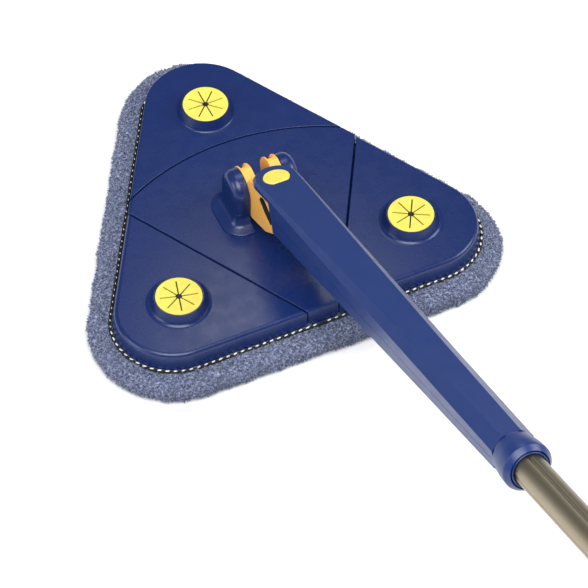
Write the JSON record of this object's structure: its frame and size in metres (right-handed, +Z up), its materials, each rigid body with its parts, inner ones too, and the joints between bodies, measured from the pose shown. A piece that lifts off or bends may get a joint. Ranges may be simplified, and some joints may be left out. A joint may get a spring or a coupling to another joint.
{
  "type": "triangular flat mop",
  "caption": "Triangular microfibre flat mop with folding rear corners, a two-axis joint, a long plastic handle body and a telescopic steel pole.",
  "frame": {"origin": "middle of the hand grip, on the pole's axis", "axes": "+Z up, +Y from the grip towards the head and its front corner, +X across the head; the pole rises 20 degrees from the head to the grip"},
  "size_m": [0.3138, 1.2923, 0.4721],
  "materials": {
    "navy_plastic": "gloss",
    "yellow_rubber": "satin",
    "amber_plastic": "satin",
    "black_plastic": "matte",
    "brushed_steel": "satin",
    "microfibre": "matte",
    "hook_tape": "matte",
    "grip_rubber": "matte"
  },
  "bodies": {
    "pole": {"pole_tube": "brushed_steel", "tube_plug": "black_plastic", "hand_grip": "grip_rubber", "end_cap": "navy_plastic"},
    "handle": {"handle_upper_shell": "navy_plastic", "handle_lower_shell": "navy_plastic", "handle_screw_1": "brushed_steel", "handle_screw_2": "brushed_steel", "spigot": "black_plastic", "spigot_washer": "brushed_steel", "spigot_screw": "brushed_steel", "ferrule": "navy_plastic", "clamp_collet": "black_plastic", "button_spring": "brushed_steel"},
    "lock_collar": {"lock_collar": "navy_plastic"},
    "button": {"release_button": "yellow_rubber"},
    "yoke": {"yoke": "amber_plastic"},
    "head": {"centre_shell": "navy_plastic", "front_shell": "navy_plastic", "head_base": "navy_plastic", "left_axle_pin": "brushed_steel", "right_axle_pin": "brushed_steel", "axle_cap": "navy_plastic", "left_hinge_pin": "brushed_steel", "right_hinge_pin": "brushed_steel", "front_gripper": "yellow_rubber", "front_clip": "black_plastic", "centre_hook_tape": "hook_tape", "centre_pad": "microfibre", "centre_screw_1": "brushed_steel", "centre_screw_2": "brushed_steel", "centre_screw_3": "brushed_steel", "front_screw_1": "brushed_steel", "front_screw_2": "brushed_steel"},
    "left_flap": {"left_flap_shell": "navy_plastic", "left_flap_base": "navy_plastic", "left_gripper": "yellow_rubber", "left_clip": "black_plastic", "left_hook_tape": "hook_tape", "left_pad": "microfibre", "left_flap_screw_1": "brushed_steel", "left_flap_screw_2": "brushed_steel"},
    "right_flap": {"right_flap_shell": "navy_plastic", "right_flap_base": "navy_plastic", "right_gripper": "yellow_rubber", "right_clip": "black_plastic", "right_hook_tape": "hook_tape", "right_pad": "microfibre", "right_flap_screw_1": "brushed_steel", "right_flap_screw_2": "brushed_steel"}
  },
  "joints": [
    {"name": "pole_slide", "type": "slide", "parent": "pole", "child": "handle", "axis": [0, -0.9397, 0.342], "range_m": [0, 0.24]},
    {"name": "collar_twist", "type": "hinge", "parent": "handle", "child": "lock_collar", "pos_m": [0, 0.63053, -0.2295], "axis": [0, -0.9397, 0.342], "range_deg": [0, 90]},
    {"name": "button_press", "type": "slide", "parent": "handle", "child": "button", "axis": [0, -0.342, -0.9397], "range_m": [0, 0.002], "stiffness_N_per_m": 900, "springref_m": -0.002},
    {"name": "handle_swing", "type": "hinge", "parent": "handle", "child": "yoke", "pos_m": [0, 0.98662, -0.36219], "axis": [0, 0.342, 0.9397], "range_deg": [-60, 60]},
    {"name": "head_tilt", "type": "hinge", "parent": "yoke", "child": "head", "pos_m": [0, 1.01858, -0.37382], "axis": [1, 0, 0], "range_deg": [-20, 75]},
    {"name": "left_fold", "type": "hinge", "parent": "head", "child": "left_flap", "pos_m": [-0.05153, 0.98082, -0.40752], "axis": [0.5, -0.866, 0], "range_deg": [0, 60]},
    {"name": "right_fold", "type": "hinge", "parent": "head", "child": "right_flap", "pos_m": [0.05153, 0.98082, -0.40752], "axis": [0.5, 0.866, 0], "range_deg": [0, 60]}
  ]
}
